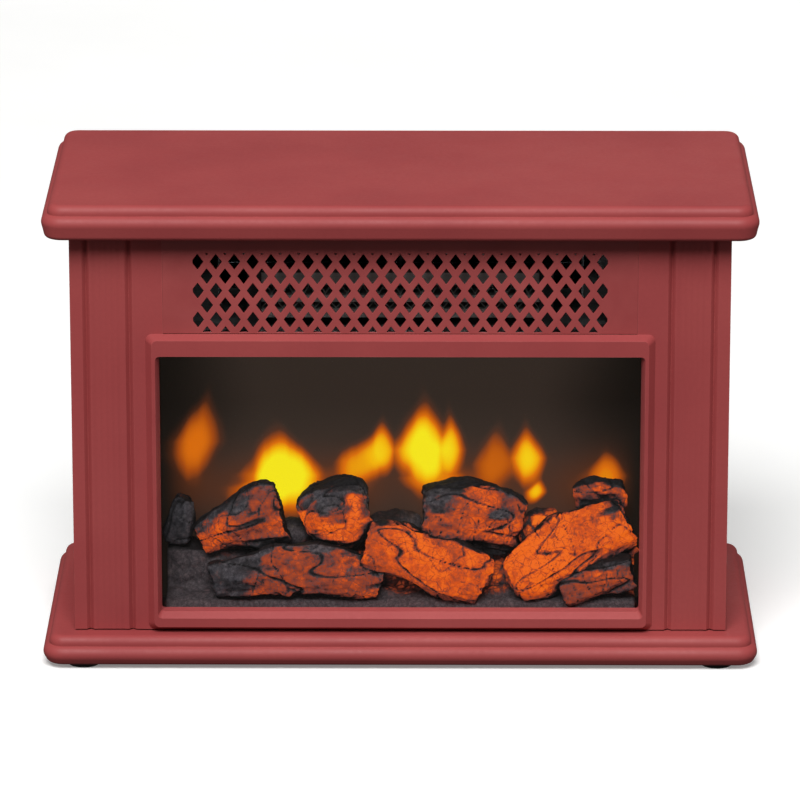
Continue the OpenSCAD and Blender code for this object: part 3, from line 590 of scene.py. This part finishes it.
def log_axis(node):
    """The ends of the line through a CAD log's end spheres, from left to right, and their radii."""
    vertices = np.empty(len(nodes[node].data.vertices) * 3)
    nodes[node].data.vertices.foreach_get("co", vertices)
    points = vertices.reshape(-1, 3)
    ends = []
    for sign in (-1, 1):
        tip = points[np.argmax(points[:, 0] * sign)]
        radius = 0.008
        for _ in range(6):
            near = points[np.abs(points[:, 0] - tip[0]) < radius]
            radius = float(near[:, 1].max() - near[:, 1].min()) / 2
        centre = Vector((float(tip[0]) - sign * radius, float(tip[1]), float(tip[2])))
        ends.append((centre, radius))
    return ends


def log_source(node, log):
    """A tapering, slightly bent log along its CAD node, with broken lobes of bark on it."""
    (left, left_r), (right, right_r) = log_axis(node)
    overrun = 0.86    # how far the ends go past the end spheres' middles, in radii
    span = right - left
    along = span.normalized()
    steps = 14
    # Short logs round off towards their ends, and long ones stay blunt
    length_share = min(1.0, span.length / (left_r + right_r))
    end_share = 0.32 + 0.28 * length_share
    fullness = 0.62 - 0.20 * length_share
    path, radii = [], []
    for i in range(steps + 1):
        t = i / steps
        reach = -overrun * left_r + (span.length + overrun * (left_r + right_r)) * t
        arch = log.bend * (left_r + right_r) * math.sin(math.pi * t)
        path.append(left + along * reach + Vector((0, 0, arch)))
        end_fall = end_share + (1 - end_share) * math.sin(math.pi * (0.03 + 0.94 * t)) ** fullness
        radii.append((left_r + (right_r - left_r) * t) * log.growth * end_fall)

    def build(bm):
        swept_solid(bm, path, radii, log.seed, log.tall)
        for k in range(log.lobes):
            t = (k + 0.5) / log.lobes
            radius = left_r + (right_r - left_r) * t
            angle = log.seed * 1.3 + k * 2.4
            aside = (0, math.cos(angle) * 0.4, abs(math.sin(angle)) * 0.5 - 0.22)
            centre = left.lerp(right, t) + Vector(aside) * radius
            tilt = Vector((0, 0, radius * 0.25 * math.sin(angle * 2)))
            reach = along * radius * 0.62 + tilt
            swept_solid(bm, [centre - reach, centre, centre + reach],
                        [radius * 0.46, radius * 0.74, radius * 0.44],
                        log.seed + k * 3 + 1, log.tall, 12)

    return mesh_from(node + ".rough", build), along


def ridged(p, octaves=3):
    """Sharp-crested fractal noise from about 0 to 1."""
    total, size, share = 0.0, 1.0, 0.57
    for _ in range(octaves):
        total += share * (1 - abs(noise.noise(p * size)))
        size *= 2.1
        share *= 0.5
    return total


def carve(mesh, along, log):
    """Roughens a log's skin with bark ridges and char cracks, and stores where it glows."""
    shift = Vector((log.seed * 1.7, log.seed * 0.9, log.seed * 2.3))
    side = along.cross(Vector((0, 0, 1))).normalized()
    up = side.cross(along)
    y_front = corners("window_glass")[1].y + GLASS_GAP
    y_back = corners("flame_screen")[0].y - GLASS_GAP
    normals = [Vector(n.vector) for n in mesh.vertex_normals]
    reaches = [vertex.co.dot(along) for vertex in mesh.vertices]
    left_end, length = min(reaches), max(reaches) - min(reaches)
    cracks, crests, lights = [], [], []
    for vertex, normal in zip(mesh.vertices, normals):
        co = vertex.co.copy()
        local = Vector((co.dot(along), co.dot(side), co.dot(up)))
        lump = noise.noise(co * 46 + shift)
        bark = ridged(Vector((local.x * 30, local.y * 105, local.z * 105)) + shift)
        split = abs(noise.noise(Vector((local.x * 20, local.y * 80, local.z * 80)) + shift * 2))
        cross = abs(noise.noise(Vector((local.x * 75, local.y * 40, local.z * 40)) + shift * 3))
        crack = max(0.0, 1 - split / 0.045, 0.8 - cross / 0.035)
        grain = noise.noise(co * 420 + shift)
        depth = lump * LUMP_DEPTH + (bark - 0.8) * BARK_DEPTH - crack * CRACK_DEPTH
        moved = co + normal * (depth + grain * GRAIN_DEPTH)
        moved.y = min(y_back, max(y_front, moved.y))
        vertex.co = moved
        # Angle of the skin: 0 faces the window, 90 faces up and below 0 faces down
        angle = math.degrees(math.atan2(normal.z, -normal.y))
        wander = 42 * noise.noise(co * 55 + shift * 2) + 16 * noise.noise(co * 170 + shift)
        lit = smooth_step(-14, 14, log.climb + wander - angle) * smooth_step(-150, -95, angle)
        lit *= 0.5 + 0.5 * smooth_step(-70, -15, angle + 0.5 * wander)
        if log.cold_end:
            ahead = (local.x - left_end) / length + 0.003 * wander
            lit *= smooth_step(log.cold_end - 0.08, log.cold_end + 0.08, ahead)
        cracks.append(min(1.0, crack + max(0.0, 0.70 - bark) * 2.4))
        crests.append(smooth_step(44, 66, angle + 0.4 * wander))
        lights.append(lit * log.glow)
    mesh.update()
    set_attribute(mesh, "crack_depth", cracks)
    set_attribute(mesh, "crest_share", crests)
    set_attribute(mesh, "lit_share", lights)
    shade_smooth(mesh)


def add_logs():
    """Adds a charred log in place of each CAD one, and returns their meshes."""
    voxel = 0.0009
    meshes = []
    for node, log in LOGS.items():
        source, along = log_source(node, log)
        mesh = remeshed(node.replace("log_", "charred_log_"), source, voxel)
        carve(mesh, along, log)
        new_piece(mesh.name, mesh, "logs", stands_for=[node])
        meshes.append(mesh)
    return meshes


def store_nook_shade(meshes, reach=0.014, rays=14):
    """Stores how closely each point is hemmed in by the pile, from 0 in the open to 1 at most, for
    the logs and the bed to paint shade into the pile's nooks.
    """
    vertices, faces = [], []
    for mesh in meshes:
        start = len(vertices)
        vertices.extend(vertex.co.copy() for vertex in mesh.vertices)
        for polygon in mesh.polygons:
            faces.append([start + i for i in polygon.vertices])
    tree = BVHTree.FromPolygons(vertices, faces)
    golden_turn = math.radians(137.5)
    fan = []
    for k in range(rays):
        rise = math.sqrt(1 - (k + 0.5) / rays)
        run = math.sqrt(1 - rise * rise)
        fan.append((run * math.cos(k * golden_turn), run * math.sin(k * golden_turn), rise))
    for mesh in meshes:
        shares = []
        for vertex, normal in zip(mesh.vertices, mesh.vertex_normals):
            up = Vector(normal.vector)
            side = up.orthogonal().normalized()
            other = up.cross(side)
            start = vertex.co + up * 0.0005
            hemmed = 0.0
            for x, y, z in fan:
                ray = side * x + other * y + up * z
                distance = tree.ray_cast(start, ray, reach)[3]
                if distance is not None:
                    hemmed += 1 - distance / reach
            shares.append(hemmed / rays)
        set_attribute(mesh, "crevice_shade_share", shares)


# ---- Ember bed ----

CINDER_HEIGHT = 0.0036
# Right of this X lies the mound that glows on its front and not only at its foot
MOUND_X = 0.06


def add_ember_bed():
    """The tray, its skin broken up into cinders that glow between the logs and are ash in front."""
    low, high = corners("ember_bed")
    mesh = remeshed("cinder_bed", nodes["ember_bed"].data.copy(), voxel=0.0012)
    normals = [Vector(n.vector) for n in mesh.vertex_normals]
    heats, crests = [], []
    for vertex, normal in zip(mesh.vertices, normals):
        co = vertex.co.copy()
        back = smooth_step(0.24, 0.44, (co.y - low.y) / (high.y - low.y))
        near, next_near = noise.voronoi(co * 120)[0][:2]
        cinder = max(0.0, 1 - near * 1.25) * back
        rise = CINDER_HEIGHT * cinder + 0.0016 * noise.noise(co * 75)
        rise += 0.0005 * noise.noise(co * 430)
        outward = max(0.0, normal.z, -normal.y)
        edge = min(co.y - low.y, high.y - co.y, co.x - low.x, high.x - co.x, co.z - low.z)
        vertex.co = co + normal * rise * outward * min(1.0, max(0.0, edge / 0.004))
        patch = 0.62 + 0.9 * noise.noise(co * 42)
        reach = back * smooth_step(-0.122, -0.098, co.x)
        height = smooth_step(0.030, 0.034, co.z - low.z)
        faces_up = normal.z + 0.4 * noise.noise(co * 80)
        dark_from = 0.45 if co.x > MOUND_X else -0.1
        top = height * smooth_step(dark_from, dark_from + 0.5, faces_up)
        heat = 0.72 * patch * reach * min(1.0, 0.3 + 4 * (next_near - near)) * (1 - 0.9 * top)
        in_mound = height * smooth_step(MOUND_X - 0.005, MOUND_X + 0.005, co.x)
        heats.append(heat * (1 + 0.6 * in_mound))
        crests.append(height * smooth_step(0.35, 0.9, faces_up))
    mesh.update()
    set_attribute(mesh, "lit_share", heats)
    set_attribute(mesh, "crest_share", crests)
    shade_smooth(mesh)
    new_piece("cinder_bed", mesh, "embers", stands_for=["ember_bed"])
    return mesh


# ---- Flame screen ----

# across and up: its middle, as shares of the window's width and of the screen's height;
# wide and tall: half its width and height in the same shares; bright: its light, where 1 is
# yellow; lean: how far it goes to the right as it rises
Flame = namedtuple("Flame", "across up wide tall bright lean")
FLAMES = [
    Flame(0.076, 0.545, 0.044, 0.116, 0.52, 0.36),
    Flame(0.256, 0.430, 0.072, 0.122, 1.14, -0.14),
    Flame(0.200, 0.385, 0.050, 0.060, 0.55, 0.50),
    Flame(0.424, 0.478, 0.056, 0.088, 0.66, 0.55),
    Flame(0.460, 0.515, 0.030, 0.078, 0.72, 0.10),
    Flame(0.548, 0.520, 0.054, 0.128, 1.06, 0.00),
    Flame(0.602, 0.518, 0.028, 0.102, 0.82, -0.05),
    Flame(0.570, 0.420, 0.070, 0.050, 0.50, 0.00),
    Flame(0.694, 0.470, 0.044, 0.098, 0.42, 0.15),
    Flame(0.764, 0.490, 0.032, 0.088, 0.86, -0.10),
    Flame(0.781, 0.372, 0.020, 0.036, 0.78, 0.35),
    Flame(0.928, 0.428, 0.038, 0.070, 0.54, 0.00),
]


def flame_light(u, v):
    """Light of the haze and the flames at a point, u across and v up, both from 0 to 1."""
    haze_wave = 0.7 + 0.5 * noise.noise(Vector((u * 7, v * 3, 2)))
    haze = 0.21 * haze_wave * math.exp(-((v - 0.40) / 0.10) ** 2)
    total = haze * smooth_step(0.0, 0.08, min(u, 1 - u))
    for k, flame in enumerate(FLAMES):
        rise = (v - flame.up) / flame.tall
        if abs(rise) > 2:
            continue
        lick = noise.noise(Vector((u * 24 + k * 3, v * 7, k * 1.9)))
        lick += 0.45 * noise.noise(Vector((u * 70, v * 6, k * 2.7)))
        sway = 0.10 * noise.noise(Vector((k * 5.1, v * 13, 0)))
        narrow = max(0.2, 1 - (0.5 if rise > 0 else -0.2) * rise)
        aside = ((u - flame.across) / flame.wide - flame.lean * rise - sway) / narrow
        reach = math.hypot(aside, rise) + 0.16 * lick
        light = flame.bright * math.exp(-0.95 * max(0.0, reach) ** 3.0)
        total = max(total, light) + 0.25 * min(total, light)
    return min(1.0, total)


def add_flame_screen():
    """A fine grid on the screen's front, which stores the light of the flames, and a plain back."""
    low, high = corners("flame_screen")
    window_low, window_high = corners("window_glass")
    step = 0.0012
    columns = int((high.x - low.x) / step)
    rows = int((high.z - low.z) / step)
    flames, shades = [], []

    def build(bm):
        grid = []
        for j in range(rows + 1):
            z = low.z + (high.z - low.z) * j / rows
            line = []
            for i in range(columns + 1):
                x = low.x + (high.x - low.x) * i / columns
                line.append(bm.verts.new((x, low.y, z)))
                u = (x - window_low.x) / (window_high.x - window_low.x)
                v = (z - low.z) / (high.z - low.z)
                flames.append(flame_light(u, v))
                inwards = min(u, 1 - u) + 0.05 * noise.noise(Vector((u * 3, v * 3, 4)))
                shades.append(1 - smooth_step(0.0, 0.22, inwards))
            grid.append(line)
        for a, b in zip(grid, grid[1:]):
            for i in range(columns):
                bm.faces.new((a[i], a[i + 1], b[i + 1], b[i]))
        right_side = [line[-1] for line in grid[1:]]
        left_side = [line[0] for line in grid[-2:0:-1]]
        rim = grid[0] + right_side + grid[-1][-2::-1] + left_side
        back = [bm.verts.new((v.co.x, high.y, v.co.z)) for v in rim]
        flames.extend([0.0] * len(back))
        shades.extend([1.0] * len(back))
        for k in range(len(rim)):
            n = (k + 1) % len(rim)
            bm.faces.new((rim[n], back[n], back[k], rim[k]))
        bm.faces.new(back)

    mesh = mesh_from("flame_panel", build)
    set_attribute(mesh, "flame_light", flames)
    set_attribute(mesh, "dim_share", shades)
    new_piece("flame_panel", mesh, "flame_screen", stands_for=["flame_screen"])


# ---- Screws ----

def solids_of(node):
    """The lowest and highest corner of each separate solid of a CAD node."""
    parents = {}

    def root(key):
        while parents[key] != key:
            key = parents[key]
        return key

    mesh = nodes[node].data
    for polygon in mesh.polygons:
        keys = [tuple(round(c, 6) for c in mesh.vertices[v].co) for v in polygon.vertices]
        for key in keys:
            parents.setdefault(key, key)
            parents[root(key)] = root(keys[0])
    groups = {}
    for key in parents:
        groups.setdefault(root(key), []).append(key)
    boxes = []
    for points in groups.values():
        boxes.append((Vector(map(min, zip(*points))), Vector(map(max, zip(*points)))))
    return sorted(boxes, key=lambda box: tuple(box[0]))


def recess(x, y):
    """Depth of a cross-head driver's recess at a point of a screw head, in metres."""
    half_slot, slope, deep = 0.00052, 0.0002, 0.0010
    arm = max(min(1.0, (half_slot - abs(x)) / slope), min(1.0, (half_slot - abs(y)) / slope), 0.0)
    return deep * arm * (1 - smooth_step(0.0014, 0.0020, math.hypot(x, y)))


def add_screws(node, out):
    """Cross-head screws in place of a CAD node's plain ones; out points off their heads."""
    head_h, shank_r, point_h = 1.6 * MM, 1.6 * MM, 1.2 * MM
    sides, rings = 56, 14
    across = out.orthogonal().normalized()
    up = out.cross(across)

    def circle(bm, centre, radius, turn, lift=lambda x, y: 0.0):
        verts = []
        for k in range(sides):
            a = math.tau * k / sides
            x, y = radius * math.cos(a), radius * math.sin(a)
            spoke = across * math.cos(a + turn) + up * math.sin(a + turn)
            verts.append(bm.verts.new(centre + spoke * radius + out * lift(x, y)))
        return verts

    def build(bm):
        for k, (low, high) in enumerate(solids_of(node)):
            middle = (low + high) / 2
            half = (high - low) / 2
            reach = abs(half.dot(out))
            head_r = max(abs(half.dot(across)), abs(half.dot(up)))
            top = middle + out * reach
            turn = k * 1.13

            def dome(x, y):
                fall = (math.hypot(x, y) / head_r) ** 2.6 * 0.62 * head_h
                return -fall - recess(x, y)

            loops = [circle(bm, top, head_r * (j / rings), turn, dome)
                     for j in range(1, rings + 1)]
            loops.append(circle(bm, top - out * head_h, head_r, turn))
            loops.append(circle(bm, top - out * head_h, shank_r, turn))
            loops.append(circle(bm, top - out * (2 * reach - point_h), shank_r, turn))
            loops.append(circle(bm, top - out * 2 * reach, shank_r * 0.3, turn))
            centre = bm.verts.new(top + out * dome(0, 0))
            for i in range(sides):
                bm.faces.new((centre, loops[0][i], loops[0][(i + 1) % sides]))
            for a, b in zip(loops, loops[1:]):
                for i in range(sides):
                    bm.faces.new((a[i], b[i], b[(i + 1) % sides], a[(i + 1) % sides]))
            bm.faces.new(loops[-1][::-1])
        bmesh.ops.recalc_face_normals(bm, faces=bm.faces)

    mesh = mesh_from(node + ".cross_head", build)
    for polygon in mesh.polygons:
        polygon.use_smooth = len(polygon.vertices) < 5
    obj = new_piece(mesh.name, mesh, slots[node], stands_for=[node])
    crisp = obj.modifiers.new("crisp", "EDGE_SPLIT")
    crisp.split_angle = math.radians(42)


# ---- Carried-over nodes and floor ----

EASED = {
    # node: width of its rounded edges in mm
    "left_side_panel": 0.8, "right_side_panel": 0.8, "left_pilaster": 0.5, "right_pilaster": 0.5,
    "window_frame": 0.5, "outlet_grille": 0.25, "corner_cleats": 0.8, "feet": 0.5,
    "switch_housings": 0.4, "flame_switch_rocker": 0.5, "heat_switch_rocker": 0.5,
    "thermostat_knob": 0.5, "thermostat_body": 0.6, "tip_switch_body": 0.5,
    "cord_gland": 0.6, "terminal_block": 0.5, "control_board": 0.2,
    "fan_motor": 0.6, "flame_motor": 0.6, "element_holders": 0.5, "glass_clips": 0.15,
}


def finish_cad_nodes():
    """Gives each CAD node its slot's finish, and eases the edges of those in EASED."""
    for name, obj in nodes.items():
        material = materials[slots[name]]
        for place in obj.material_slots:
            place.link = "OBJECT"
            place.material = material
        if name in EASED:
            ease_edges(obj, EASED[name] * MM)


def add_floor():
    """A plain floor that the object stands on. It isn't reflected and throws no light back."""
    def build(bm):
        bmesh.ops.create_grid(bm, x_segments=8, y_segments=8, size=6)

    mesh = mesh_from("floor", build)
    obj = bpy.data.objects.new("floor", mesh)
    bpy.context.scene.collection.objects.link(obj)
    mesh.materials.append(floor_paper("floor_paper"))
    obj.visible_glossy = False
    obj.visible_diffuse = False


add_camera()
add_world()
add_lights()
materials = make_materials()
finish_cad_nodes()
store_nook_shade(add_logs() + [add_ember_bed()])
add_flame_screen()
add_screws("rear_cover_screws", Vector((0, 1, 0)))
add_screws("foot_screws", Vector((0, 0, -1)))
add_floor()
